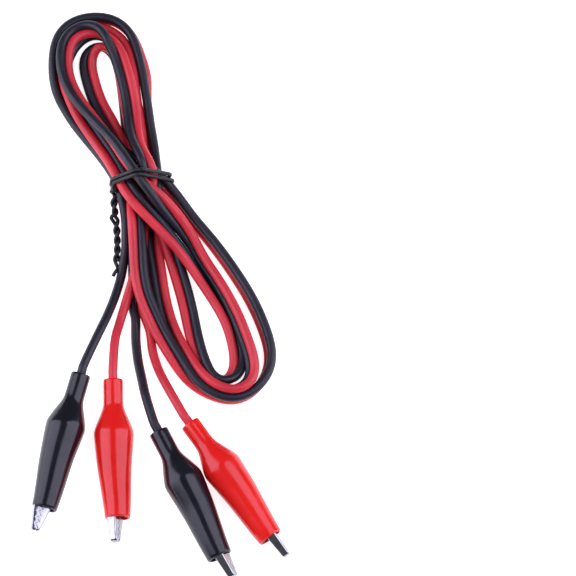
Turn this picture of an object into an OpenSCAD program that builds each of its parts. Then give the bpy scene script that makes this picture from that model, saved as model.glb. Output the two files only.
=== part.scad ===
// Twin test lead: a red and a black wire side by side, folded into a tied hank,
// split at both ends, with an insulated sprung clip on each of the four ends.
// It lies on the plane z = 0, with the clips towards -Y and the hank towards +Y.

/* [Cable] */
// Outside diameter of one insulated wire
wire_d = 2.5; // [2.3:0.1:2.5]
// Diameter of the stranded copper core
core_d = 0.8; // [0.6:0.1:0.9]

/* [Boot] */
// Distance from the boot's belly back to the end of its neck
neck_reach = 15; // [14:0.5:16]
// Outside diameter of the neck
neck_d = 5.3; // [5:0.1:5.6]
// Outside diameter of the belly, over the clip's tails
belly_d = 10.7; // [10.7:0.1:10.8]
// Outside diameter of the mouth, which the jaws stick out of
mouth_d = 6.8; // [6.8:0.1:7.2]
// Thickness of the moulded wall
boot_wall = 0.5; // [0.4:0.05:0.5]

/* [Clip] */
// Distance from the pivot to the tip of the jaws
jaw_reach = 12.5; // [12.5:0.25:14]
// Thickness of the stamped sheet
sheet = 0.4; // [0.3:0.05:0.4]
// Width of the closed jaws at the tip
tip_w = 2.1; // [1.8:0.1:2.3]
// Diameter of the pivot rivet
rivet_d = 1.2; // [1:0.1:1.2]
// Distance from one tooth to the next
tooth_pitch = 1.7; // [1.6:0.1:1.8]
// Height of a tooth
tooth_h = 0.85; // [0.6:0.05:0.9]

/* [Spring] */
// Diameter of the spring's wire
spring_wire = 0.5; // [0.4:0.05:0.5]
// Whole turns of the spring, before its last half turn
spring_turns = 3; // [2:1:3]

/* [Hank] */
// Thickness of the folded cable
hank_t = 6.5; // [5.5:0.5:7]
// Diameter of the twist tie's coated wire
tie_d = 1.3; // [1.1:0.1:1.4]

/* [Hidden] */
$fn = 48;
CLIPS = ["end1_black", "end1_red", "end2_black", "end2_red"];
PIECES = ["boot", "fixed_jaw", "moving_jaw", "rivet", "spring", "core", "wire"];

wire_colours = ["#2e2f3a", "#d8404a", "#2e2f3a", "#d8404a"];
boot_colours = ["#1c1c24", "#e3262a", "#1c1c24", "#e3262a"];

// In a clip's own frame the pivot is the origin, x points to the tip and the moving jaw is on +z.
belly_x = -17;
mouth_x = 6;
neck_x = belly_x - neck_reach;
belly_r = belly_d / 2;
mouth_r = mouth_d / 2;
neck_r = neck_d / 2;
bore_r = wire_d / 2 + 0.05;

// A clip lies on its belly and on the lower edge of its mouth.
pitch = atan((belly_r - mouth_r) / (mouth_x - belly_x));
belly_z = belly_r * cos(pitch);

// Where each belly stands, which way its clip points, and how far the clip is rolled about its own axis.
belly_places = [[-25.6, 13.2], [-12.6, 11.1], [6.2, -1.8], [16.6, 1.7]];
headings = [-106, -89, -63, -54];
rolls = [80, 30, 31, 15];

// Side view of a jaw: its plate runs from the tail, past the pivot, to the nose.
tail_x = -17.5;
tail_z = 4.2;
waist_x = -3;
waist_z = 2.2;
jaw_back_z = 2.4;
nose_z = 1.2;
nose_edge_z = 0.8;
nose_bevel = 0.4;
tail_wall_h = 1.3;
waist_edge_z = 0.7;
ear_r = 1.5;
jaw_gap = 0.2;
tooth_count = 4;
first_tooth_x = 4.8;

// Plan view of a jaw: straight sides at the tail and pivot, then a taper to the tip.
fixed_half_w = 2.3;
moving_half_w = 1.8;
mouth_half_w = 1.35;
taper_x = 1.8;
slide_gap = 0.05;
head_d = 1.9;
head_t = 0.3;

// The crimp holds the bare core on the fixed jaw's tail plate.
crimp_x = -15.5;
crimp_len = 2.2;
crimp_r = 0.8;
insulation_end = [-18.6, 0, -2.55];
core_gap = 0.02;
tail_slope = (tail_z - waist_z) / (waist_x - tail_x);

coil_r = 1.15;
coil_half_w = 0.95;
leg_x = -9;
leg_gap = 0.03;
coil_steps = 10;

// The hank's outline is two hulls of circles, [x, y, radius], one above the tie and one below it.
upper_loops = [[-18, 118.5, 14], [-6, 84.5, 5.5]];
lower_loops = [[-6, 84.5, 5.5], [9.5, 59.5, 12.5]];
bottom_loops = [[9.5, 59.5, 12.5], [18, 34.5, 13]];
tie_place = [-6, 84.5];
tie_turn = 10;
bundle_w = 10;
bundle_h = 7;
bundle_corner = 2;

// Free part of each wire, from inside the hank to where it lines up with its clip.
wire_routes = [
    [[-7.5, 80.5, 3], [-9.4, 75, 2.2], [-9.8, 69, 1.4], [-10, 63, 1.3], [-11.2, 57, 1.5],
     [-13, 51, 2.4], [-15, 45, 4.2], [-17.2, 39, 6]],
    [[-5.5, 72, 3], [-7, 67, 1.8], [-7.3, 61.5, 1.3], [-8.4, 55.5, 1.3], [-10.2, 49, 2],
     [-11.6, 43, 3.6], [-12.6, 37.5, 5.8]],
    [[-2, 59.5, 2.6], [-5, 55.5, 1.6], [-6.6, 51, 1.3], [-7.3, 45, 1.3], [-7.4, 39, 1.4],
     [-6.9, 33, 2.4], [-5.8, 27, 4.2], [-4.5, 21.5, 6.2]],
    [[0.5, 52, 2.6], [-2.6, 47, 1.6], [-3.4, 41.5, 1.3], [-2.8, 35.5, 1.8], [-1, 29.5, 3.4],
     [1.6, 24, 5.8]]
];
// The last stretch of each wire, in its clip's frame, from behind the neck to the end of its insulation.
wire_in_clip = [[-38, 0, 0], [neck_x, 0, 0], [-25.2, 0, 0], [-22, 0, -0.8], insulation_end];

// Twisted ends of the tie, lying along the first black wire.
tie_route = [[-12, 84, 5], [-13.4, 80.5, 4.6], [-13.4, 76.5, 3.9], [-12.4, 72, 3.6],
             [-12.2, 67.5, 3.5], [-11.7, 63, 3.5], [-11.5, 58, 3.5]];

function turned_x(p, a) = [p.x, p.y * cos(a) - p.z * sin(a), p.y * sin(a) + p.z * cos(a)];
function turned_y(p, a) = [p.x * cos(a) + p.z * sin(a), p.y, p.z * cos(a) - p.x * sin(a)];
function turned_z(p, a) = [p.x * cos(a) - p.y * sin(a), p.x * sin(a) + p.y * cos(a), p.z];

// A point of clip i's own frame, in the frame of the whole lead.
function from_clip(i, p) =
    [belly_places[i].x, belly_places[i].y, belly_z]
    + turned_z(turned_y(turned_x(p - [belly_x, 0, 0], rolls[i]), pitch), headings[i]);

// Height of the inner face of the fixed jaw's tail plate.
function plate_z(x) = -(waist_z - sheet + (waist_x - x) * tail_slope);

function unit(v) = v / norm(v);
function tangent(path, i) = unit(path[min(i + 1, len(path) - 1)] - path[max(i - 1, 0)]);

// One ring of points round the path, square to it; side is a direction that the path never follows.
function ring(path, i, r, sides, side) =
    let (ahead = tangent(path, i), across = unit(cross(ahead, side)), over = cross(across, ahead))
    [for (s = [0 : sides - 1]) path[i] + r * (cos(360 * s / sides) * across + sin(360 * s / sides) * over)];

module tube(path, d, sides = 8, side = [0, 0, 1]) {
    rings = len(path);
    points = [for (i = [0 : rings - 1]) each ring(path, i, d / 2, sides, side)];
    walls = [for (i = [0 : rings - 2]) for (s = [0 : sides - 1])
        let (a = i * sides + s, b = i * sides + (s + 1) % sides)
        [a, b, b + sides, a + sides]];
    start_cap = [[for (s = [0 : sides - 1]) sides - 1 - s]];
    end_cap = [[for (s = [0 : sides - 1]) (rings - 1) * sides + s]];
    polyhedron(points, concat(start_cap, walls, end_cap), convexity = 6);
}

module place_clip(i) {
    translate([belly_places[i].x, belly_places[i].y, belly_z])
        rotate([0, 0, headings[i]])
            rotate([0, pitch, 0])
                rotate([rolls[i], 0, 0])
                    translate([-belly_x, 0, 0])
                        children();
}

// Boot: a neck, a flare, a belly and a long taper to the mouth, with an even wall over the clip.
module boot(i) {
    color(boot_colours[i])
        place_clip(i)
            rotate([0, 90, 0])
                rotate_extrude()
                    polygon([
                        [neck_r, neck_x],
                        [neck_r, belly_x - 8.2],
                        [neck_r + 0.35, belly_x - 6.8],
                        [belly_r - 1.15, belly_x - 3.6],
                        [belly_r - 0.3, belly_x - 1.4],
                        [belly_r, belly_x],
                        [mouth_r, mouth_x],
                        [mouth_r - boot_wall, mouth_x],
                        [belly_r - boot_wall, belly_x + 1],
                        [belly_r - boot_wall, belly_x - 0.6],
                        [belly_r - boot_wall - 1.15, belly_x - 3.6],
                        [bore_r, belly_x - 8.2],
                        [bore_r, neck_x]
                    ]);
}

// Toothed edge of a jaw; side is -1 for the fixed jaw and 1 for the moving one, and the teeth interlock.
function toothed_edge(side) = [
    for (i = [0 : 2 * tooth_count])
        [first_tooth_x + i * tooth_pitch / 2,
         side * jaw_gap / 2 + (i % 2 == 0 ? -1 : 1) * tooth_h / 2]
];

module jaw_side_view(side) {
    circle(r = ear_r);
    polygon(concat(
        [
            [tail_x, side * tail_z],
            [tail_x, side * (tail_z - tail_wall_h)],
            [waist_x, side * waist_edge_z],
            [taper_x, side * jaw_gap / 2],
            [first_tooth_x - tooth_pitch / 2, side * jaw_gap / 2]
        ],
        toothed_edge(side),
        [
            [jaw_reach, side * jaw_gap / 2],
            [jaw_reach, side * nose_edge_z],
            [jaw_reach - nose_bevel, side * nose_z],
            [mouth_x, side * jaw_back_z],
            [taper_x, side * waist_z],
            [waist_x, side * waist_z]
        ]
    ));
}

module jaw_hollow_view(side) {
    polygon([
        [tail_x - 1, -side * tail_z],
        [tail_x - 1, side * (tail_z - sheet + tail_slope)],
        [waist_x, side * (waist_z - sheet)],
        [taper_x, side * (waist_z - sheet)],
        [mouth_x, side * (jaw_back_z - sheet)],
        [jaw_reach - sheet, side * (nose_z - sheet)],
        [jaw_reach - sheet, -side * tail_z]
    ]);
}

module jaw_plan_view(half_w, inset) {
    tip_half_w = tip_w / 2;
    polygon([
        [tail_x - 2 * inset, half_w - inset],
        [taper_x, half_w - inset],
        [mouth_x, mouth_half_w - inset],
        [jaw_reach - inset, tip_half_w - inset],
        [jaw_reach - inset, inset - tip_half_w],
        [mouth_x, inset - mouth_half_w],
        [taper_x, inset - half_w],
        [tail_x - 2 * inset, inset - half_w]
    ]);
}

// A jaw is one sheet bent into a channel, with teeth on its two edges and an ear on each side.
module jaw(side, half_w, ear_bore_r) {
    difference() {
        intersection() {
            rotate([90, 0, 0])
                linear_extrude(height = 2 * fixed_half_w, center = true)
                    jaw_side_view(side);
            linear_extrude(height = 3 * tail_z, center = true)
                jaw_plan_view(half_w, 0);
        }
        intersection() {
            rotate([90, 0, 0])
                linear_extrude(height = 2 * fixed_half_w, center = true)
                    jaw_hollow_view(side);
            linear_extrude(height = 3 * tail_z, center = true)
                jaw_plan_view(half_w, sheet);
        }
        rotate([90, 0, 0])
            cylinder(h = 3 * fixed_half_w, r = ear_bore_r, center = true);
    }
}

// The crimp's axis runs along the tail plate, with the core lying on the plate.
module along_crimp() {
    translate([crimp_x, 0, plate_z(crimp_x) + core_d / 2 + core_gap])
        rotate([0, 90 - atan(tail_slope), 0])
            children();
}

module fixed_jaw(i) {
    color("#c9ccd2")
        place_clip(i)
            difference() {
                union() {
                    jaw(-1, fixed_half_w, rivet_d / 2 + 0.01);
                    along_crimp()
                        cylinder(h = crimp_len, r = crimp_r, center = true);
                }
                along_crimp()
                    cylinder(h = 2 * crimp_len, r = core_d / 2 + core_gap, center = true);
            }
}

module moving_jaw(i) {
    color("#d5d8dd")
        place_clip(i)
            jaw(1, moving_half_w, rivet_d / 2 + slide_gap);
}

module rivet(i) {
    head_y = fixed_half_w + 0.02;
    color("#b9bcc2")
        place_clip(i)
            rotate([90, 0, 0]) {
                cylinder(h = 2 * (head_y + head_t), r = rivet_d / 2, center = true);
                for (end = [-1, 1])
                    translate([0, 0, end * (head_y + head_t / 2)])
                        cylinder(h = head_t, r = head_d / 2, center = true);
            }
}

// Torsion spring: coils round the rivet, with a leg along each jaw's tail plate.
module spring(i) {
    leg_z = plate_z(leg_x) + spring_wire / 2 + leg_gap;
    sweep = 180 + 360 * spring_turns;
    steps = round(sweep * coil_steps / 360);
    coil = [for (s = [0 : steps])
        [coil_r * cos(sweep * s / steps - 90),
         coil_half_w * (2 * s / steps - 1),
         coil_r * sin(sweep * s / steps - 90)]];
    legs = [[leg_x, -coil_half_w, leg_z], [leg_x, coil_half_w, -leg_z]];
    color("#9a9da4")
        place_clip(i)
            tube(concat([legs[0]], coil, [legs[1]]), spring_wire, 6, [0, 1, 0]);
}

// Bare strands of the wire, from the end of the insulation into the crimp.
module core(i) {
    lie_z = core_d / 2 + core_gap;
    color("#c07a45")
        place_clip(i)
            tube([
                insulation_end,
                [crimp_x - crimp_len / 2 - 0.5, 0, plate_z(crimp_x - crimp_len / 2 - 0.5) + lie_z],
                [crimp_x, 0, plate_z(crimp_x) + lie_z],
                [crimp_x + crimp_len / 2 + 0.6, 0, plate_z(crimp_x + crimp_len / 2 + 0.6) + lie_z]
            ], core_d);
}

module wire(i) {
    color(wire_colours[i])
        tube(concat(wire_routes[i], [for (p = wire_in_clip) from_clip(i, p)]), wire_d);
}

module at_tie() {
    translate([tie_place.x, tie_place.y, 0])
        rotate([0, 0, tie_turn])
            children();
}

module rounded_section(w, h, r) {
    square([w, h - 2 * r], center = true);
    square([w - 2 * r, h], center = true);
    for (x = [-1, 1])
        for (y = [-1, 1])
            translate([x * (w / 2 - r), y * (h / 2 - r)])
                circle(r = r);
}

// The stretch of cable that the tie holds, or the tie's own outside when grown by its wire.
module bundle(length, grow = 0) {
    at_tie()
        translate([0, 0, tie_d + bundle_h / 2])
            rotate([90, 0, 0])
                linear_extrude(height = length, center = true)
                    rounded_section(bundle_w + 2 * grow, bundle_h + 2 * grow, bundle_corner + grow);
}

module loops(circles) {
    linear_extrude(height = hank_t)
        hull()
            for (c = circles)
                translate([c.x, c.y])
                    circle(r = c.z, $fn = 32);
}

module cable_hank() {
    color("#3a2f38")
        union() {
            difference() {
                union() {
                    loops(upper_loops);
                    loops(lower_loops);
                    loops(bottom_loops);
                }
                at_tie()
                    cube([3 * bundle_w, tie_d + 0.1, 4 * bundle_h], center = true);
            }
            bundle(3 * tie_d);
        }
}

module twist_tie() {
    color("#17181c")
        union() {
            difference() {
                bundle(tie_d, tie_d);
                bundle(2 * tie_d);
            }
            tube(tie_route, tie_d);
        }
}

cable_hank();
twist_tie();
for (i = [0 : len(CLIPS) - 1]) {
    boot(i);
    fixed_jaw(i);
    moving_jaw(i);
    rivet(i);
    spring(i);
    core(i);
    wire(i);
}
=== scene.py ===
"""Twin test lead with four insulated clips, dressed around its CAD frame."""
import math

import bmesh
import bpy
import numpy as np
from mathutils import Matrix, Vector


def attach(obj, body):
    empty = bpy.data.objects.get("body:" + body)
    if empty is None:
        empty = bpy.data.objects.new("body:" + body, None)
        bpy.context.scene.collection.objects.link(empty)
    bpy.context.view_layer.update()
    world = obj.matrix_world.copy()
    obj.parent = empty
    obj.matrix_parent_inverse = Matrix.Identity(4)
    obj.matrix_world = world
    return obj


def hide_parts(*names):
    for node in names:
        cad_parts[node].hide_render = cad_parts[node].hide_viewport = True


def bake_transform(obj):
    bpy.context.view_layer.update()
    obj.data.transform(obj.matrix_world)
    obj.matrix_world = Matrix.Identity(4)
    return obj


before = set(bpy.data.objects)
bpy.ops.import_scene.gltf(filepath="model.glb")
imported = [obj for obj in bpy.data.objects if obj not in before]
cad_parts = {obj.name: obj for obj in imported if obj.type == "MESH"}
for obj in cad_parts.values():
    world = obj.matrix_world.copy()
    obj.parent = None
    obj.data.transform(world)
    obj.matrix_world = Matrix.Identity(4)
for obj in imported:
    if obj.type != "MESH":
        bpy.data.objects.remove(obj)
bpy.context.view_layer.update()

MM = 0.001
# Steps between two points of a route, and how far a tube's end bulges, as a share of its radius.
ROUTE_STEPS = 12
CAP_BULGE = 0.25

# ---------------------------------------------------------------- sizes, in mm
WIRE_D = 2.5
BOND_PITCH = 2.42
CORE_D = 0.8
BELLY_X, NECK_X, MOUTH_X = -17, -32, 6
BELLY_R, MOUTH_R = 5.35, 3.4
RIVET_D = 1.2

# A clip lies on the surface on its belly and its mouth, so its axis is tipped down to the mouth.
PITCH = math.degrees(math.atan((BELLY_R - MOUTH_R) / (MOUTH_X - BELLY_X)))
BELLY_Z = BELLY_R * math.cos(math.radians(PITCH))

# Where each clip's belly lies, which way it points, its turn about its own axis, and how far its boot's
# mouth sags to one side, in the frame of the whole lead.
CLIPS = [
    {"name": "end1_black", "colour": "black", "belly": (-25.6, 13.2), "heading": -106, "roll": 80,
     "droop": (0.75, -0.1)},
    {"name": "end1_red", "colour": "red", "belly": (-12.6, 11.1), "heading": -89, "roll": 30,
     "droop": (0.7, 0)},
    {"name": "end2_black", "colour": "black", "belly": (6.2, -1.8), "heading": -63, "roll": 31,
     "droop": (-0.65, -0.35)},
    {"name": "end2_red", "colour": "red", "belly": (16.6, 1.7), "heading": -54, "roll": 15,
     "droop": (-0.5, -0.45)},
]

# Free part of each wire, from where it leaves its twin to where it lines up with its clip.
FREE_ROUTES = {
    "end1_black": [(-9.3, 62, 2.4), (-10.4, 57, 1.7), (-12.3, 51, 2.4), (-14.5, 45, 4.2),
                   (-17, 39, 6)],
    "end1_red": [(-6.7, 61.5, 1.3), (-7.8, 55.5, 1.3), (-9.5, 49, 2), (-11.2, 43, 3.6),
                 (-12.4, 37.5, 5.8)],
    "end2_black": [(-7, 45, 1.3), (-6.9, 39, 1.4), (-6.3, 33, 2.4), (-5.2, 27, 4.2),
                   (-4.1, 21.5, 6.2)],
    "end2_red": [(-3.1, 41.5, 1.3), (-2.3, 35.5, 1.8), (-0.5, 29.5, 3.4), (1.9, 24, 5.8)],
}
# The last stretch of each wire's insulation, in the clip's own frame.
WIRE_IN_CLIP = [(-35, 0, 0), (NECK_X, 0, 0), (-25.2, 0, 0), (-22, 0, -0.8), (-18.6, 0, -2.55)]

# The twin's centreline through the hank: x, y, z, and where its black wire lies, as an angle from the
# left of the way the cable runs, turning upwards: 0 left, 90 on top, 180 right, 270 below.
TWIN_ROUTE = [
    # First end, up to the tie
    (-8, 65, 2.2, 45), (-8.5, 68, 2.4, 78), (-9, 74, 2.4, 92), (-10, 79, 2.5, 80), (-11, 84, 2.5, 42),
    # Outermost top loop
    (-14, 89.5, 2, 10), (-18, 95, 1.4, 0), (-23, 101.5, 1.3, 0), (-25.5, 106, 1.3, 5),
    (-27.5, 109.5, 1.8, 30), (-28.5, 112.5, 2.4, 60), (-29, 116.5, 2.5, 75), (-28.5, 121.5, 2.5, 70),
    (-27.5, 124.5, 2.5, 62), (-25.5, 127, 2.5, 64), (-23, 128.5, 2.5, 74), (-19.5, 129.5, 2.6, 86),
    (-15.5, 130, 2.6, 94), (-12, 129, 2.7, 98), (-9.5, 126.5, 2.9, 100), (-8, 124, 3, 102),
    (-7.5, 121.5, 3, 106), (-7, 118.5, 3.2, 112), (-6, 115.5, 3.4, 120), (-5.5, 112, 3.6, 116),
    (-5.5, 108.5, 3.8, 100), (-5, 104.5, 3.8, 84), (-5, 99.5, 3.8, 72), (-4.5, 93.5, 4, 58),
    (-4.5, 88, 4.6, 52),
    # Innermost bottom loop
    (-3.5, 83.5, 4.8, 54), (-2.5, 78.5, 3.8, 30), (-1, 72.5, 2.6, 10), (1, 67, 1.4, 0),
    (3.5, 60, 1.3, 0), (6, 52, 1.3, 0), (7.5, 45.5, 1.3, 5), (8.5, 39.5, 1.3, 20), (10, 34, 1.3, 45),
    (11.5, 30, 1.3, 65), (13.5, 26.5, 1.4, 80), (16, 25.5, 1.6, 95), (18.5, 26.5, 1.7, 120),
    (20.5, 29, 1.6, 150), (21.5, 33, 1.6, 180), (20.5, 38, 2, 210), (18, 44.5, 2.4, 240),
    (12.5, 53.5, 2.45, 248), (6, 62.5, 3, 240), (-0.5, 70, 5, 215), (-6, 76, 7.4, 190),
    (-9, 80, 8.4, 180),
    # Top loop inside the outermost one, lying on the surface
    (-10.5, 83.5, 8, 180), (-12.5, 88, 6.4, 180), (-14.5, 92, 5.2, 180), (-17, 95.5, 4.4, 180),
    (-19.5, 99, 3.9, 182), (-22.5, 103.5, 3.7, 186), (-24.5, 108, 3.4, 205), (-26.5, 112, 2.8, 230),
    (-27, 116, 2.3, 240), (-26.5, 119.5, 2.2, 235), (-25.5, 123, 1.8, 210), (-23.5, 126, 1.4, 190),
    (-20, 128, 1.3, 180), (-16.5, 127, 1.3, 180), (-14, 125, 1.3, 185), (-11.5, 122, 1.5, 205),
    (-10, 118.5, 2, 235), (-8, 113, 2.2, 250), (-7.5, 107, 2.2, 250), (-6.5, 100.5, 2.3, 245),
    (-6, 93.5, 2.5, 240), (-5.5, 88.5, 2.8, 250),
    # Outermost bottom loop
    (-4.5, 84, 2.8, 270), (-6, 78, 2.6, 310), (-6, 72.5, 3.6, 340), (-6, 64, 3.9, 360),
    (-6, 57.5, 3.9, 360), (-5, 51, 3.9, 360), (-2.5, 45.5, 3, 360), (0.5, 39.5, 2, 365),
    (3.5, 35, 1.5, 370), (6.5, 30.5, 1.4, 388), (10, 26.5, 1.8, 425), (14.5, 23.5, 2.3, 445),
    (19, 22, 2.45, 452), (23, 23, 2.45, 456), (26.5, 26, 2.45, 462), (29, 30, 2.45, 470),
    (29.5, 35, 2.45, 472), (28, 41, 2.45, 472), (24.5, 49.5, 2.45, 472), (19.5, 58, 2.45, 470),
    (13.5, 66.5, 2.45, 468), (8, 72.5, 2.9, 468), (3.5, 77.5, 3.8, 475), (-1, 81, 4.6, 495),
    # Innermost top loop
    (-5, 85, 4.8, 480), (-9, 90, 3.8, 430), (-12, 95.5, 2.4, 380), (-14.5, 101, 1.4, 360),
    (-17.5, 106.5, 1.3, 360), (-19, 112, 1.3, 360), (-20, 116.5, 1.3, 355), (-20, 119.5, 1.3, 345),
    (-18.5, 122.5, 1.4, 315), (-16.5, 124, 1.8, 290), (-14, 124, 2.2, 275), (-12, 122.5, 2.4, 270),
    (-11, 120, 2.4, 270), (-10.5, 116.5, 2.4, 270), (-10, 112, 2.4, 270), (-9.5, 106.5, 2.4, 265),
    (-8.5, 99.5, 2.4, 250), (-7.5, 93, 2.5, 225), (-6, 88, 2.8, 195),
    # Bottom loop between the other two, with its red wire on top
    (-4.5, 83, 2.8, 180), (-4, 77.5, 2.4, 180), (-2.5, 72, 1.4, 180), (-2, 67, 1.3, 180),
    (-1, 60, 1.3, 180), (0, 51.5, 1.3, 180), (2, 43, 1.6, 185), (5.5, 35.5, 2.4, 210),
    (10.5, 28.5, 3.4, 250), (15, 25, 4.2, 270), (19.5, 23.5, 4.4, 285), (23, 24.5, 4, 300),
    (24.5, 28, 3.2, 305), (24, 32.5, 2.6, 303), (22.5, 37, 2.5, 300), (20, 44, 2.5, 300),
    (16, 52, 2.5, 300), (10.5, 61, 2.8, 302), (7, 67.5, 4.2, 315), (3, 72.5, 6, 345),
    (-0.5, 77, 8, 385), (-3.5, 81, 8.8, 425),
    # Top loop that crosses over the others, with its black wire passing over its red one
    (-6.5, 85, 8.8, 455), (-9.5, 88.5, 9, 455), (-12, 92.5, 8.2, 448), (-15, 96, 7.4, 438),
    (-18.5, 100, 6.8, 425), (-22.5, 105, 6.4, 412), (-25.5, 110, 6.1, 400), (-27, 115, 5.8, 392),
    (-27, 118.5, 5.8, 385), (-26.5, 122.5, 5.6, 372), (-24.5, 125.5, 5.2, 362), (-21, 127, 5.2, 368),
    (-18.5, 127, 5.8, 415), (-16, 125, 6.2, 450), (-14.5, 123, 5.8, 490), (-12.5, 120.5, 5.4, 525),
    (-11, 116, 5, 538), (-9.5, 110.5, 4.9, 538), (-8.5, 105.5, 4.9, 536), (-8, 98.5, 5.6, 525),
    (-7.5, 92.5, 7, 505), (-6, 87.5, 8, 490),
    # Second end, down to where it splits
    (-4.5, 83.5, 7.4, 525), (-4, 80.5, 5.4, 540), (-5, 76.5, 3.4, 540), (-6, 71.5, 1.6, 540),
    (-6.5, 65, 1.3, 540), (-6.5, 58.5, 1.3, 540), (-6.5, 52.5, 1.3, 540), (-6.5, 48, 1.3, 540),
]
# Where the twist tie goes round the hank, and its turn in degrees.
TIE_PLACE = (-7.5, 82.2)
TIE_TURN = 5


# ---------------------------------------------------------------- geometry helpers
def clip_matrix(clip):
    """Takes a point of the clip's own frame, in mm, to the frame of the whole lead, in mm."""
    x, y = clip["belly"]
    turn = Matrix.Rotation(math.radians(clip["heading"]), 4, "Z")
    tip = Matrix.Rotation(math.radians(PITCH), 4, "Y")
    roll = Matrix.Rotation(math.radians(clip["roll"]), 4, "X")
    from_belly = Matrix.Translation((-BELLY_X, 0, 0))
    return Matrix.Translation((x, y, BELLY_Z)) @ turn @ tip @ roll @ from_belly


def smooth(values):
    """Draws each value but the ends towards its neighbours, in place."""
    values[1:-1] += 0.25 * (values[:-2] - 2 * values[1:-1] + values[2:])


def spaced(line, step):
    """The same line with points at an even distance, taken over its first three columns."""
    run = np.r_[0, np.cumsum(np.linalg.norm(np.diff(line[:, :3], axis=0), axis=1))]
    stops = np.linspace(0, run[-1], max(3, round(run[-1] / step) + 1))
    return np.column_stack([np.interp(stops, run, line[:, k]) for k in range(line.shape[1])])


def smooth_route(points, step, passes=0):
    """A Catmull-Rom line through the points, evenly spaced, then smoothed a number of times."""
    p = np.array(points, float)
    p = np.vstack([2 * p[0] - p[1], p, 2 * p[-1] - p[-2]])
    t = np.linspace(0, 1, ROUTE_STEPS, endpoint=False)[:, None]
    pieces = [0.5 * (2 * b + (c - a) * t + (2 * a - 5 * b + 4 * c - d) * t**2
                     + (3 * b - a - 3 * c + d) * t**3)
              for a, b, c, d in zip(p, p[1:], p[2:], p[3:])]
    line = spaced(np.vstack(pieces + [p[-2:-1]]), step)
    for _ in range(passes):
        smooth(line)
    return line


def unit(v):
    return v / np.maximum(np.linalg.norm(v, axis=-1, keepdims=True), 1e-12)


def directions(line):
    return unit(np.gradient(line[:, :3], axis=0))


def carried_sides(line, first):
    """A direction square to the line at each point, carried along it without twist."""
    ahead = directions(line)
    sides = [unit(np.array(first, float) - np.dot(first, ahead[0]) * ahead[0])]
    for t in ahead[1:]:
        side = sides[-1] - np.dot(sides[-1], t) * t
        sides.append(unit(side))
    return ahead, np.array(sides)


def new_object(name, vertices, faces, material, scale=MM):
    mesh = bpy.data.meshes.new(name)
    mesh.from_pydata([tuple(float(c) * scale for c in v) for v in vertices], [], faces)
    mesh.validate()
    made = bpy.data.objects.new(name, mesh)
    bpy.context.scene.collection.objects.link(made)
    mesh.polygons.foreach_set("use_smooth", [True] * len(mesh.polygons))
    mesh.materials.append(material)
    mesh.update()
    return made


def ring_faces(rings, sides):
    """Quads between the rings of a tube, each with the same number of sides."""
    return [(r * sides + s, r * sides + (s + 1) % sides,
             (r + 1) * sides + (s + 1) % sides, (r + 1) * sides + s)
            for r in range(rings - 1) for s in range(sides)]


def tube(name, line, radius, material, sides=14, across=None, flat=1.0):
    """A tube along the line; flat squeezes it along its side direction, which across can set."""
    line = np.array(line, float)
    ahead, side = carried_sides(line, (0, 0, 1))
    if across is not None:
        side = unit(across - (across * ahead).sum(1, keepdims=True) * ahead)
    over = np.cross(ahead, side)
    angles = np.linspace(0, 2 * math.pi, sides, endpoint=False)
    rings = line[:, None] + radius * (flat * np.cos(angles)[None, :, None] * side[:, None]
                                      + np.sin(angles)[None, :, None] * over[:, None])
    vertices = [tuple(v) for ring in rings for v in ring]
    count = len(line)
    faces = ring_faces(count, sides)
    for ring, way in ((0, -1), (count - 1, 1)):
        centre = len(vertices)
        vertices.append(tuple(line[ring] + way * ahead[ring] * radius * CAP_BULGE))
        for s in range(sides):
            a, b = ring * sides + s, ring * sides + (s + 1) % sides
            faces.append((centre, a, b) if way > 0 else (centre, b, a))
    made = new_object(name, vertices, faces, material)
    uv = made.data.uv_layers.new(name="along")
    run = np.r_[0, np.cumsum(np.linalg.norm(np.diff(line, axis=0), axis=1))]
    for polygon in made.data.polygons:
        corners = [(i, made.data.loops[i].vertex_index) for i in polygon.loop_indices]
        last_side = any(v % sides == sides - 1 for _, v in corners)
        for i, v in corners:
            if v < count * sides:
                ring, turn = divmod(v, sides)
                if last_side and turn == 0:
                    turn = sides
                uv.data[i].uv = (run[ring] * MM, turn / sides)
    return made


def turn_faces_out(mesh, sharp_angle):
    """Faces outwards all round, with an edge kept sharp where it turns by more than the angle."""
    bm = bmesh.new()
    bm.from_mesh(mesh)
    bmesh.ops.recalc_face_normals(bm, faces=bm.faces)
    bm.to_mesh(mesh)
    bm.free()
    mesh.set_sharp_from_angle(angle=math.radians(sharp_angle))


# ---------------------------------------------------------------- materials
PVC_SHEEN = 0.42


def material(name):
    made = bpy.data.materials.new(name)
    made.use_nodes = True
    tree = made.node_tree
    return made, tree, tree.nodes["Principled BSDF"]


def noise(tree, scale, detail=4, rough=0.5, coordinates="Object", stretch=None):
    node = tree.nodes.new("ShaderNodeTexNoise")
    node.inputs["Scale"].default_value = scale
    node.inputs["Detail"].default_value = detail
    node.inputs["Roughness"].default_value = rough
    source = tree.nodes.new("ShaderNodeTexCoord")
    output = source.outputs[coordinates]
    if stretch:
        mapping = tree.nodes.new("ShaderNodeMapping")
        mapping.inputs["Scale"].default_value = stretch
        tree.links.new(output, mapping.inputs["Vector"])
        output = mapping.outputs["Vector"]
    tree.links.new(output, node.inputs["Vector"])
    return node.outputs["Fac"]


def ramp(tree, value, low, high, start=0.3, end=0.7):
    node = tree.nodes.new("ShaderNodeMapRange")
    node.inputs["From Min"].default_value = start
    node.inputs["From Max"].default_value = end
    node.inputs["To Min"].default_value = low
    node.inputs["To Max"].default_value = high
    tree.links.new(value, node.inputs["Value"])
    return node.outputs["Result"]


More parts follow.
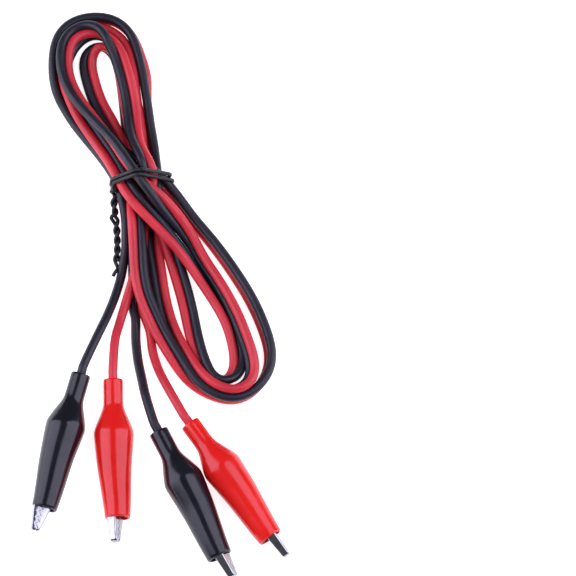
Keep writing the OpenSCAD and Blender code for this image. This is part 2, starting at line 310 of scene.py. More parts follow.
def blend_colours(tree, value, first, second, start=0.35, end=0.65):
    node = tree.nodes.new("ShaderNodeValToRGB")
    node.color_ramp.elements[0].position = start
    node.color_ramp.elements[0].color = (*first, 1)
    node.color_ramp.elements[1].position = end
    node.color_ramp.elements[1].color = (*second, 1)
    tree.links.new(value, node.inputs["Fac"])
    return node.outputs["Color"]


def mixed(tree, value, first, second):
    """Mixes two colour outputs by a value output."""
    node = tree.nodes.new("ShaderNodeMix")
    node.data_type = "RGBA"
    tree.links.new(value, node.inputs["Factor"])
    tree.links.new(first, node.inputs["A"])
    tree.links.new(second, node.inputs["B"])
    return node.outputs["Result"]


def bump(tree, shader, height, strength, distance, before=None):
    node = tree.nodes.new("ShaderNodeBump")
    node.inputs["Strength"].default_value = strength
    node.inputs["Distance"].default_value = distance
    tree.links.new(height, node.inputs["Height"])
    if before:
        tree.links.new(before, node.inputs["Normal"])
    tree.links.new(node.outputs["Normal"], shader.inputs["Normal"])
    return node.outputs["Normal"]


def wire_pvc(name, colour, deep, pale):
    """Extruded PVC: satin, faint lines along it from the die, small scuffs, and uneven colour."""
    made, tree, shader = material(name)
    patches = blend_colours(tree, noise(tree, 90, 3), deep, colour)
    scuffs = ramp(tree, noise(tree, 2600, 5, 0.65, "UV", (1, 0.004, 1)), 0, 0.35, 0.6, 0.78)
    worn = blend_colours(tree, noise(tree, 700, 2), pale, colour)
    tree.links.new(mixed(tree, scuffs, patches, worn), shader.inputs["Base Color"])
    tree.links.new(ramp(tree, noise(tree, 500, 4), 0.34, 0.5), shader.inputs["Roughness"])
    lines = noise(tree, 14, 2, 0.5, "UV", (6, 1, 1))
    first = bump(tree, shader, lines, 0.12, 0.0002)
    bump(tree, shader, noise(tree, 4200, 3), 0.06, 0.0001, first)
    shader.inputs["Specular IOR Level"].default_value = PVC_SHEEN
    return made


def boot_pvc(name, colour, deep, pale, glow):
    """Moulded plasticised PVC: glossy, with a faint ripple, patches of bloom and fine scratches."""
    made, tree, shader = material(name)
    patches = blend_colours(tree, noise(tree, 60, 3), deep, colour)
    bloom = ramp(tree, noise(tree, 320, 5, 0.6), 0, 0.2, 0.5, 0.8)
    bloomed = blend_colours(tree, noise(tree, 900, 2), pale, colour)
    tree.links.new(mixed(tree, bloom, patches, bloomed), shader.inputs["Base Color"])
    tree.links.new(ramp(tree, noise(tree, 240, 5, 0.6), 0.14, 0.27), shader.inputs["Roughness"])
    first = bump(tree, shader, noise(tree, 110, 2, 0.4), 0.16, 0.0005)
    second = bump(tree, shader, noise(tree, 1500, 3), 0.035, 0.0002, first)
    scratches = ramp(tree, noise(tree, 900, 3, stretch=(1, 0.07, 1)), 0, 1, 0.62, 0.7)
    bump(tree, shader, scratches, 0.03, 0.00005, second)
    shader.inputs["Subsurface Weight"].default_value = glow
    shader.inputs["Subsurface Radius"].default_value = (0.0012, 0.0004, 0.0003)
    shader.inputs["Subsurface Scale"].default_value = 1.0
    shader.inputs["Specular IOR Level"].default_value = PVC_SHEEN
    return made


def metal(name, colour, tarnish, rough, stretch):
    """Plated sheet: streaks from the tool, dull patches and fine pits."""
    made, tree, shader = material(name)
    patches = noise(tree, 380, 5, 0.6)
    tree.links.new(blend_colours(tree, patches, colour, tarnish, 0.45, 0.85), shader.inputs["Base Color"])
    streaks = noise(tree, 2200, 3, 0.6, stretch=stretch)
    tree.links.new(ramp(tree, streaks, rough * 0.7, rough * 1.5), shader.inputs["Roughness"])
    first = bump(tree, shader, streaks, 0.035, 0.00003)
    bump(tree, shader, ramp(tree, noise(tree, 5200, 2), 0, 1, 0.6, 0.7), 0.03, 0.00003, first)
    shader.inputs["Metallic"].default_value = 1
    return made


def tie_plastic(name):
    """Thin black coat over a steel wire: satin, creased where it is twisted."""
    made, tree, shader = material(name)
    tree.links.new(blend_colours(tree, noise(tree, 500, 4), (0.004, 0.004, 0.006), (0.009, 0.009, 0.013)),
                   shader.inputs["Base Color"])
    tree.links.new(ramp(tree, noise(tree, 1800, 4), 0.36, 0.55), shader.inputs["Roughness"])
    bump(tree, shader, noise(tree, 2600, 4, 0.6), 0.25, 0.0001)
    return made


RED_WIRE = wire_pvc("red_wire_pvc", (0.72, 0.036, 0.050), (0.60, 0.026, 0.040), (0.70, 0.14, 0.16))
BLACK_WIRE = wire_pvc("black_wire_pvc", (0.014, 0.015, 0.024), (0.009, 0.010, 0.016), (0.05, 0.05, 0.07))
RED_BOOT = boot_pvc("red_boot_pvc", (0.88, 0.013, 0.009), (0.76, 0.009, 0.007), (0.80, 0.08, 0.07), 0.10)
BLACK_BOOT = boot_pvc("black_boot_pvc", (0.008, 0.008, 0.013), (0.005, 0.005, 0.009),
                      (0.02, 0.02, 0.03), 0)
PLATING = metal("jaw_nickel_plating", (0.40, 0.40, 0.41), (0.24, 0.235, 0.23), 0.13, (0.15, 1, 1))
RIVET_STEEL = metal("rivet_steel", (0.62, 0.61, 0.60), (0.30, 0.28, 0.26), 0.26, (1, 1, 0.2))
SPRING_STEEL = metal("spring_wire_steel", (0.45, 0.45, 0.46), (0.20, 0.18, 0.16), 0.30, (1, 1, 1))
COPPER = metal("copper_strand", (0.86, 0.44, 0.25), (0.50, 0.22, 0.12), 0.25, (1, 1, 1))
TIE_COAT = tie_plastic("tie_coating")


# ---------------------------------------------------------------- the camera
ELEVATION, DISTANCE, FRAME_WIDTH, SENSOR = 72, 3.0, 0.1555, 36
AIM = (34.14, 54.15, 0)


def make_camera():
    camera = bpy.data.objects.new("camera", bpy.data.cameras.new("camera"))
    bpy.context.scene.collection.objects.link(camera)
    elevation = math.radians(ELEVATION)
    aim = Vector(AIM) * MM
    back = Vector((0, -math.cos(elevation), math.sin(elevation)))
    camera.location = aim + back * DISTANCE
    camera.rotation_euler = (math.pi / 2 - elevation, 0, 0)
    camera.data.sensor_width = SENSOR
    camera.data.lens = SENSOR * DISTANCE / FRAME_WIDTH
    camera.data.clip_start = 0.01
    bpy.context.scene.camera = camera


make_camera()


# ---------------------------------------------------------------- the twin cable
# Lines are drawn with points this far apart, and bends are opened to this radius where they can be.
STEP, LEAST_BEND = 1.25, 6.2
LEAD_IN, LEAD_IN_POINTS = 4, 12
ROUTE_PASSES = 10
ROUNDING_PASSES = 150
BEND_REACHES = (1, 3, 6)
BEND_EASE = 0.3
# How the wires relax: rounds with and without weight, and how many points at each end stay held.
RELAX_ROUNDS, SETTLE_ROUNDS = 420, 160
HELD_POINTS, LOOSENING_POINTS = 13, 14
SINK = 0.03
TWIST_STIFFNESS = 0.5
PLAN_HOLD, PLAN_HOLD_AT_TIE, HEIGHT_HOLD_AT_TIE = 0.06, 0.10, 0.10
SIDE_PUSH, SIDE_PUSH_AT_TIE = 0.4, 0.4
TIE_LIFT = 0.9
TIE_SPREAD, LIFT_SPREAD = 50, 60
# Close pairs are found again every few rounds, within this many wire widths, and a point's neighbours
# along its own wire and along the wire it is bonded to are left out.
PAIR_ROUNDS, PAIR_REACH, NEIGHBOURS, BONDED_NEIGHBOURS = 10, 1.5, 5, 4
# The torn seam: its width, how deep it sits, how flat it is, and how many end points it leaves out.
SEAM_W, SEAM_SINK, SEAM_FLAT, SEAM_START = 0.7, 0.03, 0.35, 10


def round_bends(line, reach):
    """Opens every bend that is tighter than the wire allows, judged over reach points each way."""
    middle = line[reach:-reach]
    inward = (line[:-2 * reach] + line[2 * reach:]) / 2 - middle
    size = np.linalg.norm(inward, axis=1, keepdims=True)
    most = (reach * STEP)**2 / (2 * LEAST_BEND)
    shift = inward / np.maximum(size, 1e-6) * np.maximum(size - most, 0) * BEND_EASE
    middle += shift
    line[:-2 * reach] -= shift / 2
    line[2 * reach:] -= shift / 2


def twin_lines():
    """Black and red centrelines of the bonded stretch."""
    route = smooth_route(TWIN_ROUTE, STEP, ROUTE_PASSES)
    line, turn = route[:, :3], np.radians(route[:, 3])[:, None]
    for _ in range(ROUNDING_PASSES):
        for reach in BEND_REACHES:
            round_bends(line, reach)
    ahead = directions(line)
    left = unit(np.cross([0, 0, 1], ahead))
    over = np.cross(ahead, left)
    aside = (np.cos(turn) * left + np.sin(turn) * over) * BOND_PITCH / 2
    return line + aside, line - aside


def free_end(name, start, heading):
    """One split wire, from the end of its bonded stretch to the end of its insulation."""
    clip = next(c for c in CLIPS if c["name"] == name)
    matrix = clip_matrix(clip)
    held = [tuple(matrix @ Vector(p)) for p in WIRE_IN_CLIP]
    route = [tuple(start - heading * LEAD_IN), tuple(start), *FREE_ROUTES[name], *held]
    line = smooth_route(route, STEP)
    near = np.linalg.norm(line - start, axis=1)[:LEAD_IN_POINTS].argmin()
    return line[near + 1:]


def near_tie(points, spread):
    """1 at the tie, falling to 0 away from it."""
    return np.exp(-((points[:, 0] - TIE_PLACE[0])**2 + (points[:, 1] - TIE_PLACE[1])**2) / spread)


def close_pairs(points, chain, place, mate):
    """Pairs of points that may touch, without neighbours along a wire or across the bond."""
    flat = points.astype(np.float32)
    square = (flat**2).sum(1)
    near = square[:, None] + square[None] - 2 * flat @ flat.T < (WIRE_D * PAIR_REACH)**2
    first, second = np.nonzero(np.triu(near, 1))
    same = (chain[first] == chain[second]) & (abs(place[first] - place[second]) < NEIGHBOURS)
    twins = (chain[first] != chain[second]) & (abs(place[first] - mate[second]) < BONDED_NEIGHBOURS)
    return first[~(same | twins)], second[~(same | twins)]


def push_apart(points, first, second, side_push, free):
    """Moves points that are less than a wire's width apart away from each other."""
    gap = points[second] - points[first]
    far = np.linalg.norm(gap, axis=1)
    push = np.maximum(WIRE_D - far, 0)[:, None] * gap / np.maximum(far, 0.05)[:, None] * 0.5
    push[:, :2] *= side_push[first, None]
    weight = np.maximum(np.bincount(first, minlength=len(points))
                        + np.bincount(second, minlength=len(points)), 1)[:, None]
    shift = np.zeros_like(points)
    np.add.at(shift, first, -push)
    np.add.at(shift, second, push)
    points += shift / np.minimum(weight, 2.0) * free[:, None]


def keep_bonds(points, bonds, stance):
    """Holds the two wires side by side, and resists their twist away from how they were laid."""
    a, b = bonds[:, 0], bonds[:, 1]
    gap = points[b] - points[a]
    far = np.linalg.norm(gap, axis=1, keepdims=True)
    pull = gap * (1 - BOND_PITCH / far) * 0.5
    points[a] += pull
    points[b] -= pull
    lean = (points[b] - points[a] - stance) * 0.5 * TWIST_STIFFNESS
    points[a] += lean
    points[b] -= lean


def relax(lines, bonds, free):
    """Lets the wires come to rest: they sink, push each other apart and stay bonded and smooth."""
    chain = np.repeat(np.arange(len(lines)), [len(line) for line in lines])
    place = np.concatenate([np.arange(len(line)) for line in lines])
    ends = np.cumsum([len(line) for line in lines])
    spans = [slice(end - len(line), end) for line, end in zip(lines, ends)]
    start = np.vstack(lines)
    points = start.copy()
    stance = start[bonds[:, 1]] - start[bonds[:, 0]]
    mate = np.full(len(points), -10**6)
    mate[bonds[:, 1]] = place[bonds[:, 0]]
    tie = near_tie(start, TIE_SPREAD)
    plan_hold = (PLAN_HOLD + PLAN_HOLD_AT_TIE * tie)[:, None]
    side_push = SIDE_PUSH + SIDE_PUSH_AT_TIE * tie
    floor = WIRE_D / 2 + TIE_LIFT * near_tie(start, LIFT_SPREAD)
    for count in range(RELAX_ROUNDS + SETTLE_ROUNDS):
        if count % PAIR_ROUNDS == 0:
            first, second = close_pairs(points, chain, place, mate)
        if count < RELAX_ROUNDS:
            points[:, 2] -= SINK * free
            points[:, :2] += plan_hold * (start[:, :2] - points[:, :2])
            points[:, 2] += HEIGHT_HOLD_AT_TIE * tie * (start[:, 2] - points[:, 2])
        push_apart(points, first, second, side_push, free)
        keep_bonds(points, bonds, stance)
        for span in spans:
            for reach in BEND_REACHES:
                round_bends(points[span], reach)
        move = points - start
        for span in spans:
            smooth(move[span])
        points = start + move * free[:, None]
        points[:, 2] = np.where(free > 0, np.maximum(points[:, 2], floor), points[:, 2])
    return [points[span] for span in spans]


def cable_lines():
    """Both wires end to end, the first bonded point of each, and how many points are bonded."""
    black, red = twin_lines()
    heading = [directions(black)[0], directions(black)[-1]]
    lines, bonds, free = [], [], []
    offset = 0
    for twin, near_end, far_end in ((black, "end1_black", "end2_black"), (red, "end1_red", "end2_red")):
        before = free_end(near_end, twin[0], -heading[0])[::-1]
        after = free_end(far_end, twin[-1], heading[1])
        line = np.vstack([before, twin, after])
        from_end = np.minimum(np.arange(len(line)), len(line) - 1 - np.arange(len(line)))
        free.append(np.clip((from_end - HELD_POINTS) / LOOSENING_POINTS, 0, 1))
        bonds.append(offset + len(before) + np.arange(len(twin)))
        lines.append(line)
        offset += len(line)
    relaxed = relax(lines, np.column_stack(bonds), np.concatenate(free))
    return relaxed, (bonds[0][0], bonds[1][0] - len(lines[0])), len(black)


(black_line, red_line), (black_first, red_first), bonded_points = cable_lines()


def wire_piece(name, line, finish, slot, *nodes):
    made = tube(name, line, WIRE_D / 2, finish, sides=16)
    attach(made, "root")
    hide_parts(*nodes)
    return made


def torn_seam(name, line, facing):
    """The thin red line left on a black end where the red wire was pulled off it."""
    side = carried_sides(line, facing)[1]
    made = tube(name, line + side * (WIRE_D / 2 - SEAM_SINK), SEAM_W / 2, RED_WIRE, sides=8,
                across=side, flat=SEAM_FLAT)
    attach(made, "root")
    return made


black_wire = wire_piece("black_wire", black_line, BLACK_WIRE, "wire_black",
                        "cable_hank", "end1_black_wire", "end2_black_wire")
red_wire = wire_piece("red_wire", red_line, RED_WIRE, "wire_red", "end1_red_wire", "end2_red_wire")
black_last, red_last = black_first + bonded_points - 1, red_first + bonded_points - 1
seams = [torn_seam("end1_red_seam", black_line[black_first + 1:SEAM_START:-1],
                   red_line[red_first] - black_line[black_first]),
         torn_seam("end2_red_seam", black_line[black_last - 1:-SEAM_START],
                   red_line[red_last] - black_line[black_last])]


# ---------------------------------------------------------------- boots
# Outside and inside of the boot, as (x, radius) points in the clip's frame.
BOOT_OUTSIDE = [(NECK_X, 2.55), (NECK_X + 0.25, 2.66), (-28, 2.66), (-25.4, 2.7), (-24, 2.95),
                (-22.4, 3.55), (-20.4, 4.4), (-18.6, 5.06), (-17.5, 5.33), (-16.6, BELLY_R), (-14, 5.15),
                (-8, 4.62), (-1, 4.02), (4, 3.58), (5.6, 3.44), (MOUTH_X, 3.3)]
BOOT_INSIDE = [(MOUTH_X, 2.95), (5.6, 2.88), (-1, 3.5), (-8, 4.1), (-15.6, 4.8), (-17.6, 4.78),
               (-20.6, 3.75), (-25, 1.32), (NECK_X + 0.2, 1.3), (NECK_X, 1.5)]
OUTSIDE_STEP, INSIDE_STEP = 0.45, 0.7
BOOT_SIDES = 64
# From its belly to its mouth the boot is a little square in section, and a little oval in between.
SQUARENESS, SQUARE_FROM, SQUARE_RUN = 0.004, 8, 8
PINCH, PINCH_X, PINCH_W = 0.03, -9.5, 3.2
# The mouth's sag starts this far in front of the belly.
DROOP_FROM = 6


def smooth_step(t):
    t = np.clip(t, 0, 1)
    return t * t * (3 - 2 * t)


def boot_ring(x, r, angles):
    """One ring of the boot, in the clip's frame, before it droops."""
    square = np.clip((x - NECK_X - SQUARE_FROM) / SQUARE_RUN, 0, 1) * SQUARENESS
    pinch = PINCH * np.exp(-((x - PINCH_X) / PINCH_W)**2) * np.cos(2 * angles)
    radius = r * (1 - square * np.cos(4 * angles)) + pinch
    return np.column_stack([np.full(len(angles), x), radius * np.cos(angles), radius * np.sin(angles)])


def boot(clip):
    """One soft shell: outside, rolled lip at the mouth, and an inside that narrows onto the wire."""
    angles = np.linspace(0, 2 * math.pi, BOOT_SIDES, endpoint=False)
    matrix = clip_matrix(clip)
    droop = np.array(matrix.to_3x3().inverted() @ Vector((*clip["droop"], 0)))
    droop[0] = 0
    rings = []
    for outline, step in ((BOOT_OUTSIDE, OUTSIDE_STEP), (BOOT_INSIDE, INSIDE_STEP)):
        for x, r, _ in smooth_route([(x, r, 0) for x, r in outline], step):
            sag = smooth_step((x - BELLY_X - DROOP_FROM) / (MOUTH_X - BELLY_X - DROOP_FROM))
            rings.append(boot_ring(x, r, angles) + droop * sag)
    vertices = [tuple(matrix @ Vector(v)) for ring in rings for v in ring]
    last = (len(rings) - 1) * BOOT_SIDES
    faces = ring_faces(len(rings), BOOT_SIDES)
    faces += [(last + s, last + (s + 1) % BOOT_SIDES, (s + 1) % BOOT_SIDES, s) for s in range(BOOT_SIDES)]
    finish = RED_BOOT if clip["colour"] == "red" else BLACK_BOOT
    made = new_object(clip["name"] + "_moulded_boot", vertices, faces, finish)
    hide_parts(clip["name"] + "_boot")
    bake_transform(made)


for one_clip in CLIPS:
    boot(one_clip)


# ---------------------------------------------------------------- the sprung jaws
SHEET = 0.4
TAIL_X, WAIST_X, TAPER_X, TIP_X = -17.5, -3, 1.8, 12.5
EAR_R = 1.5
JAW_GAP = 0.2
BEND_R, INNER_BEND_R, BEND_POINTS = 0.45, 0.12, 5
TOOTH_PITCH, TOOTH_H, FIRST_TOOTH_X, TOOTH_POINTS = 1.7, 0.85, 4.8, 9
TEETH_START_X, TEETH_END_X = FIRST_TOOTH_X - TOOTH_PITCH / 2, FIRST_TOOTH_X + TOOTH_PITCH * 4.5
# Height of a jaw's back above the clip's axis along x, and its toothed edge in the open part of the jaw.
BACK = [(TAIL_X, 4.2), (WAIST_X, 2.2), (TAPER_X, 2.2), (MOUTH_X, 2.4), (11.8, 1.32), (12.2, 1.15),
        (12.4, 0.95), (TIP_X, 0.7)]
TOOTH_EDGE = [(FIRST_TOOTH_X + i * TOOTH_PITCH / 2, (-1) ** (i + 1) * TOOTH_H / 2)
              for i in range(TOOTH_POINTS)]
HALF_WIDTHS = {"fixed": 2.3, "moving": 1.8}
NOSE_HALF_W, NOSE_TOP, NOSE_T, NOSE_BEVEL, NOSE_BEVEL_RUN = 0.62, 0.85, 0.55, 0.1, 0.08
CRIMP_X, CRIMP_HALF_LEN, CRIMP_INNER_R, CRIMP_OUTER_R, CRIMP_TUCK = -15.5, 1.1, 0.42, 0.8, 0.97
CORE_LIE = CORE_D / 2 + 0.02
RIVET_SIDES, CRIMP_SIDES = 28, 26
JAW_SHARP, RIVET_SHARP, CRIMP_SHARP = 38, 50, 40


def at(table, x):
    return float(np.interp(x, [p[0] for p in table], [p[1] for p in table]))


def jaw_edge(x, phase):
    """Height of the side walls' free edge, with the jaw's back upwards; phase is 1 or -1 for the teeth."""
    if TEETH_START_X < x < TEETH_END_X:
        return JAW_GAP / 2 + phase * at([(TEETH_START_X, 0), *TOOTH_EDGE, (TEETH_END_X, 0)], x)
    edge = at([(TAIL_X, 2.9), (WAIST_X, 0.7), (TAPER_X, JAW_GAP / 2)], x)
    return min(edge, -math.sqrt(max(EAR_R**2 - x * x, 0))) if abs(x) < EAR_R else edge


def channel_section(half_w, low, high):
    """One sheet bent into a channel, as a closed loop of (across, up) points, with rounded bends."""
    loop = []
    for inset, way in ((0, 1), (SHEET, -1)):
        top, wide = high - inset, half_w - inset
        bend = min(BEND_R if inset == 0 else INNER_BEND_R, max(top - low, 0.05) * 0.45, wide * 0.45)
        arc = np.linspace(0, math.pi / 2, BEND_POINTS)
        side = [(wide, low), (wide, (low + top - bend) / 2)]
        side += [(wide - bend + bend * math.cos(a), top - bend + bend * math.sin(a)) for a in arc]
        side += [(wide * 0.3, top)]
        side += [(-y, z) for y, z in reversed(side)]
        loop += side[::way]
    return loop


def stations():
    """Places along a jaw where its section is drawn, close together where its edge turns."""
    xs = set(np.linspace(TAIL_X, WAIST_X, 12)) | set(np.linspace(-2.4, TAPER_X, 18))
    xs |= {x + beside for x, _ in TOOTH_EDGE for beside in (-0.14, 0, 0.14)}
    xs |= {x for x, _ in BACK} | {3.0, 3.95, 12.0, 12.3, -EAR_R, EAR_R}
    return sorted(round(float(x), 3) for x in xs)


def nose_wall(way, first):
    """The wall that closes the channel's nose, with a bevelled front; first is its first vertex's number."""
    vertices = []
    for x, grow in ((TIP_X - NOSE_T, 0), (TIP_X - NOSE_BEVEL_RUN, 0), (TIP_X, -NOSE_BEVEL)):
        wide, low, high = NOSE_HALF_W + grow, JAW_GAP / 2, NOSE_TOP + grow
        corners = ((-wide, low), (wide, low), (wide, high), (-wide, high))
        vertices += [(x, way * y, way * z) for y, z in corners]
    faces = [(0, 3, 2, 1), (8, 9, 10, 11)] + ring_faces(3, 4)
    return vertices, [tuple(first + i for i in face) for face in faces]


def jaw(clip, kind):
    """A folded channel with a row of teeth on each edge, two ears at the rivet and a closed nose."""
    way = 1 if kind == "moving" else -1
    widths = [(TAIL_X, HALF_WIDTHS[kind] - 0.12), (TAIL_X + 0.5, HALF_WIDTHS[kind]),
              (TAPER_X, HALF_WIDTHS[kind]), (MOUTH_X, 1.35), (12.0, 1.07), (12.3, 1.0), (TIP_X, 0.85)]
    rings = []
    for x in stations():
        section = channel_section(at(widths, x), jaw_edge(x, way), at(BACK, x))
        rings.append([(x, way * y, way * z) for y, z in section])
    count = len(rings[0])
    vertices = [v for ring in rings for v in ring]
    faces = [tuple(reversed(face)) for face in ring_faces(len(rings), count)]
    half = count // 2
    last = (len(rings) - 1) * count
    faces += [(i, i + 1, count - 2 - i, count - 1 - i) for i in range(half - 1)]
    faces += [(last + count - 1 - i, last + count - 2 - i, last + i + 1, last + i) for i in range(half - 1)]
    wall_vertices, wall_faces = nose_wall(way, len(vertices))
    matrix = clip_matrix(clip)
    made = new_object(clip["name"] + "_toothed_%s_jaw" % kind,
                      [tuple(matrix @ Vector(v)) for v in vertices + wall_vertices], faces + wall_faces,
                      PLATING)
    turn_faces_out(made.data, JAW_SHARP)
    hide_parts(clip["name"] + "_%s_jaw" % kind)
    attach(made, "root" if kind == "fixed" else clip["name"] + "_jaw")


def plate_z(x):
    """Inner face of the fixed jaw's tail plate, in the clip's frame."""
    return -(at(BACK, x) - SHEET)


def rivet(clip):
    """Pivot pin with a domed head at one end and a rolled head at the other, turned about its axis."""
    seat = HALF_WIDTHS["fixed"] + 0.02
    dome = [(-seat - 0.34, 0.18), (-seat - 0.30, 0.5), (-seat - 0.2, 0.78), (-seat - 0.08, 0.93),
            (-seat, 0.95)]
    shank = [(-seat, RIVET_D / 2), (seat, RIVET_D / 2)]
    rolled = [(seat, 0.95), (seat + 0.14, 0.9), (seat + 0.24, 0.74), (seat + 0.24, 0.5), (seat + 0.1, 0.3),
              (seat + 0.06, 0.1)]
    profile = dome + shank + rolled
    angles = np.linspace(0, 2 * math.pi, RIVET_SIDES, endpoint=False)
    matrix = clip_matrix(clip)
    vertices = [tuple(matrix @ Vector((r * math.cos(a), y, r * math.sin(a))))
                for y, r in profile for a in angles]
    faces = [tuple(reversed(face)) for face in ring_faces(len(profile), RIVET_SIDES)]
    faces += [tuple(range(RIVET_SIDES)), tuple(reversed(range(len(vertices) - RIVET_SIDES, len(vertices))))]
    made = new_object(clip["name"] + "_pivot_rivet", vertices, faces, RIVET_STEEL)
    made.data.set_sharp_from_angle(angle=math.radians(RIVET_SHARP))
    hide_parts(clip["name"] + "_rivet")
    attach(made, "root")


def spring(clip):
    """Torsion spring round the rivet, with a leg on each jaw's tail plate."""
    coil_r, half_w, leg_x, wire, turns, steps = 1.15, 0.95, -9, 0.5, 3.5, 110
    leg_z = plate_z(leg_x) + wire / 2 + 0.03
    sweep = math.radians(360 * turns)
    coil = [(coil_r * math.cos(sweep * i / steps - math.pi / 2), half_w * (2 * i / steps - 1),
             coil_r * math.sin(sweep * i / steps - math.pi / 2)) for i in range(steps + 1)]
    matrix = clip_matrix(clip)
    route = [(leg_x, -half_w, leg_z), (leg_x * 0.5, -half_w, (leg_z - coil_r) / 2), *coil,
             (leg_x * 0.5, half_w, (coil_r - leg_z) / 2), (leg_x, half_w, -leg_z)]
    line = spaced(np.array([tuple(matrix @ Vector(p)) for p in route]), 0.28)
    made = tube(clip["name"] + "_coiled_spring", line, wire / 2, SPRING_STEEL, sides=10)
    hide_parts(clip["name"] + "_spring")
    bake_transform(made)


def core(clip):
    """Seven bare strands, twisted, from the end of the insulation into the crimp."""
    strand_d, step, lay, count = CORE_D / 3, 0.2, 5, 7
    matrix = clip_matrix(clip)
    ends = [WIRE_IN_CLIP[-1]] + [(x, 0, plate_z(x) + CORE_LIE) for x in (-17.1, CRIMP_X, -13.8)]
    middle = smooth_route([tuple(matrix @ Vector(p)) for p in ends], step)
    ahead, side = carried_sides(middle, (0, 0, 1))
    over = np.cross(ahead, side)
    turn = np.arange(len(middle)) * step * 2 * math.pi / lay
    splay = 1 + 0.25 * smooth_step((np.arange(len(middle)) - len(middle) + 5) / 4)[:, None]
    strands = []
    for k in range(count):
        angle = (turn + k * math.pi / 3)[:, None]
        reach = 0 if k == count - 1 else strand_d
        line = middle + reach * splay * (np.cos(angle) * side + np.sin(angle) * over)
        strands.append(tube("%s_strand_%d" % (clip["name"], k), line, strand_d / 2, COPPER, sides=8))
    made, others = strands[0], strands[1:]
    bm = bmesh.new()
    for strand in strands:
        bm.from_mesh(strand.data)
    bm.to_mesh(made.data)
    bm.free()
    for strand in others:
        bpy.data.objects.remove(strand)
    made.name = clip["name"] + "_copper_strands"
    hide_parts(clip["name"] + "_core")
    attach(made, "root")


def crimp(clip):
    """Two tabs of the fixed jaw's tail plate, rolled round the strands."""
    matrix = clip_matrix(clip)
    slope = math.atan2(plate_z(TAIL_X) - plate_z(WAIST_X), WAIST_X - TAIL_X)
    centre = Vector((CRIMP_X, 0, plate_z(CRIMP_X) + CORE_LIE))
    lean = matrix @ Matrix.Translation(centre) @ Matrix.Rotation(slope, 4, "Y")
    arc = np.linspace(math.radians(100), math.radians(440), CRIMP_SIDES)
    vertices, faces = [], []
    for x in (-CRIMP_HALF_LEN, CRIMP_HALF_LEN):
        for r in (CRIMP_INNER_R * CRIMP_TUCK, CRIMP_OUTER_R):
            vertices += [tuple(lean @ Vector((x, r * math.cos(a), r * math.sin(a)))) for a in arc]
    inner_a, outer_a, inner_b, outer_b = (k * CRIMP_SIDES for k in range(4))
    for i in range(CRIMP_SIDES - 1):
        faces += [(outer_a + i, outer_b + i, outer_b + i + 1, outer_a + i + 1),
                  (inner_a + i + 1, inner_b + i + 1, inner_b + i, inner_a + i),
                  (inner_a + i, outer_a + i, outer_a + i + 1, inner_a + i + 1),
                  (outer_b + i, inner_b + i, inner_b + i + 1, outer_b + i + 1)]
    for i in (0, CRIMP_SIDES - 1):
        faces.append((inner_a + i, inner_b + i, outer_b + i, outer_a + i))
    made = new_object(clip["name"] + "_crimp_tabs", vertices, faces, PLATING)
    turn_faces_out(made.data, CRIMP_SHARP)
    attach(made, "root")


for one_clip in CLIPS:
    jaw(one_clip, "fixed")
    jaw(one_clip, "moving")
    rivet(one_clip)
    spring(one_clip)
    core(one_clip)
    crimp(one_clip)


# ---------------------------------------------------------------- the twist tie
TIE_STRAND, TIE_SIDES = 1.05, 10
# The two turns of the tie: how far along the hank each one lies, and how slack it is at the right.
TIE_TURNS = ((-0.55, 0), (0.55, 1))
WRAP_START, WRAP_POINTS, BUNDLE_REACH = 170, 73, 9
SLACK_ANGLE, SLACK_SPREAD, SLACK = 38, 26, (0.8, 1.2)
# The twisted tail: its line, one turn's length, and where each strand kinks outwards.
TIE_TAIL = [(-12.4, 80, 4.2), (-12.9, 77.2, 3.4), (-12.5, 74.2, 3.0), (-12.2, 71, 2.6), (-12.0, 67.5, 2.0),
            (-12.0, 63.5, 1.6), (-12.3, 60, 1.4), (-12.6, 57, 1.3)]
TWIST_PITCH, TWIST_STEP, TAIL_CUT = 5.2, 0.25, 18
KNOTS = ((1, 3.8), (0, 11.8))
KNOT_REACH, KNOT_SPREAD = np.array([-1.1, 0.2, 0.4]), 0.65


def crossing_outline(centre, across, along):
    """Outline of the bundle where a plane cuts it, as (across, up) points round the wires' centres."""
    found = []
    for line in (black_line, red_line):
        offset = (line - centre) @ along
        for i in np.nonzero(offset[:-1] * offset[1:] <= 0)[0]:
            share = offset[i] / (offset[i] - offset[i + 1] + 1e-9)
            point = line[i] + share * (line[i + 1] - line[i])
            if abs((point - centre) @ across) < BUNDLE_REACH:
                found.append(((point - centre) @ across, point[2]))
    return np.array(found)


def wrap_round(points, clearance, angles):
    """Where a wire lies when it is pulled tight round the points, looking from each angle."""
    out = []
    for a in angles:
        way = np.array([math.cos(a), math.sin(a)])
        out.append(points[(points @ way).argmax()] + way * clearance)
    return np.array(out)


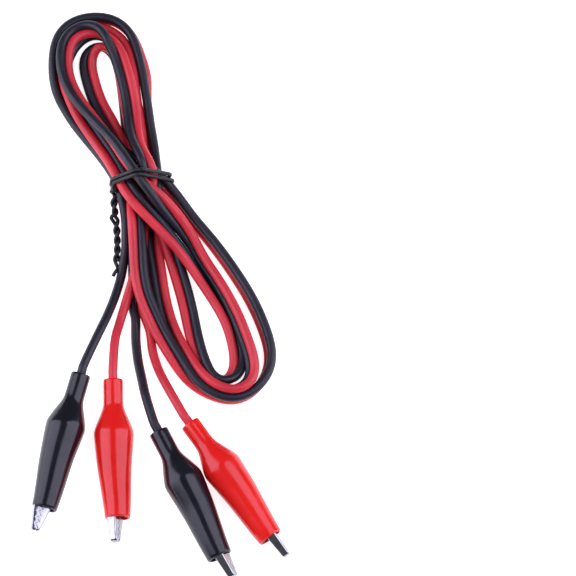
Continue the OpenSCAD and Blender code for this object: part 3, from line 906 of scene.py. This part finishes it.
def twist_tie():
    """A coated wire doubled round the hank, with a slack loop at one side and its ends twisted together."""
    turn = math.radians(TIE_TURN)
    across = np.array([math.cos(turn), math.sin(turn), 0])
    along = np.array([-math.sin(turn), math.cos(turn), 0])
    angles = np.radians(np.linspace(WRAP_START, WRAP_START - 360, WRAP_POINTS))
    loosened = np.exp(-((np.degrees(angles) - SLACK_ANGLE) / SLACK_SPREAD)**2)[:, None] * np.array(SLACK)
    wraps = []
    for shift, slack in TIE_TURNS:
        centre = np.array([*TIE_PLACE, 0.0]) + along * shift
        points = crossing_outline(centre, across, along)
        path = wrap_round(points, (WIRE_D + TIE_STRAND) / 2, angles) + slack * loosened
        path[:, 1] = np.maximum(path[:, 1], TIE_STRAND / 2)
        wraps.append(np.array([centre + across * s + np.array([0, 0, z]) for s, z in path]))
    root = wraps[0][0] + across * -0.5 + along * -0.6
    tail = smooth_route([tuple(root), *TIE_TAIL], TWIST_STEP)
    ahead, side = carried_sides(tail, (0, 0, 1))
    over = np.cross(ahead, side)
    run = np.arange(len(tail)) * TWIST_STEP
    strands = []
    for k, wrap in enumerate(wraps):
        angle = (run * 2 * math.pi / TWIST_PITCH + k * math.pi)[:, None]
        radius = TIE_STRAND / 2 * (1 + 0.10 * np.sin(run * 1.7 + k))[:, None]
        strand = tail + radius * (np.cos(angle) * side + np.sin(angle) * over)
        for knotted, knot_run in KNOTS:
            if k == knotted:
                strand += np.exp(-((run - knot_run) / KNOT_SPREAD)**2)[:, None] * KNOT_REACH
        cut = len(strand) - k * TAIL_CUT
        whole = np.vstack([wrap[::-1], strand[2:cut]])
        line = smooth_route([tuple(p) for p in spaced(whole, 0.9)], 0.3, 2)
        line[:, 2] = np.maximum(line[:, 2], TIE_STRAND / 2)
        strands.append(line)
    return strands


for index, strand_line in enumerate(twist_tie()):
    tie = tube("twist_tie_strand_%d" % (index + 1), strand_line, TIE_STRAND / 2, TIE_COAT, sides=TIE_SIDES)
    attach(tie, "root")
    if index == 0:
        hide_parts("twist_tie")


# ---------------------------------------------------------------- the stage
FLOOR_GLOW, FLOOR_HALF = 0.85, 3
SOFTBOX_AIM, SOFTBOX_COLOUR = (0, 0.05, 0), (0.80, 0.78, 1.0)
WORLD_COLOUR, WORLD_STRENGTH = (0.86, 0.90, 1.0, 1), 0.16


def make_floor():
    bm = bmesh.new()
    bmesh.ops.create_grid(bm, x_segments=8, y_segments=8, size=FLOOR_HALF)
    mesh = bpy.data.meshes.new("floor")
    bm.to_mesh(mesh)
    bm.free()
    floor = bpy.data.objects.new("floor", mesh)
    bpy.context.scene.collection.objects.link(floor)
    made, _, shader = material("floor_white")
    shader.inputs["Base Color"].default_value = (0.93, 0.93, 0.93, 1)
    shader.inputs["Emission Color"].default_value = (1, 1, 1, 1)
    shader.inputs["Emission Strength"].default_value = FLOOR_GLOW
    shader.inputs["Roughness"].default_value = 0.9
    shader.inputs["Specular IOR Level"].default_value = 0.1
    mesh.materials.append(made)


def make_light(name, place, size, power):
    light = bpy.data.lights.new(name, "AREA")
    light.shape = "RECTANGLE"
    light.size, light.size_y = size
    light.energy = power
    light.color = SOFTBOX_COLOUR
    made = bpy.data.objects.new(name, light)
    bpy.context.scene.collection.objects.link(made)
    made.location = place
    made.rotation_euler = (Vector(SOFTBOX_AIM) - Vector(place)).to_track_quat("-Z", "Y").to_euler()


def make_world():
    world = bpy.data.worlds.new("soft_white")
    bpy.context.scene.world = world
    world.use_nodes = True
    background = world.node_tree.nodes["Background"]
    background.inputs["Color"].default_value = WORLD_COLOUR
    background.inputs["Strength"].default_value = WORLD_STRENGTH
    bpy.context.scene.view_settings.view_transform = "Standard"


make_floor()
make_world()
make_light("left_softbox", (-0.98, 0.05, 0.46), (1.05, 1.8), 19)
make_light("right_softbox", (0.82, 0.05, 0.66), (0.9, 1.8), 15.5)
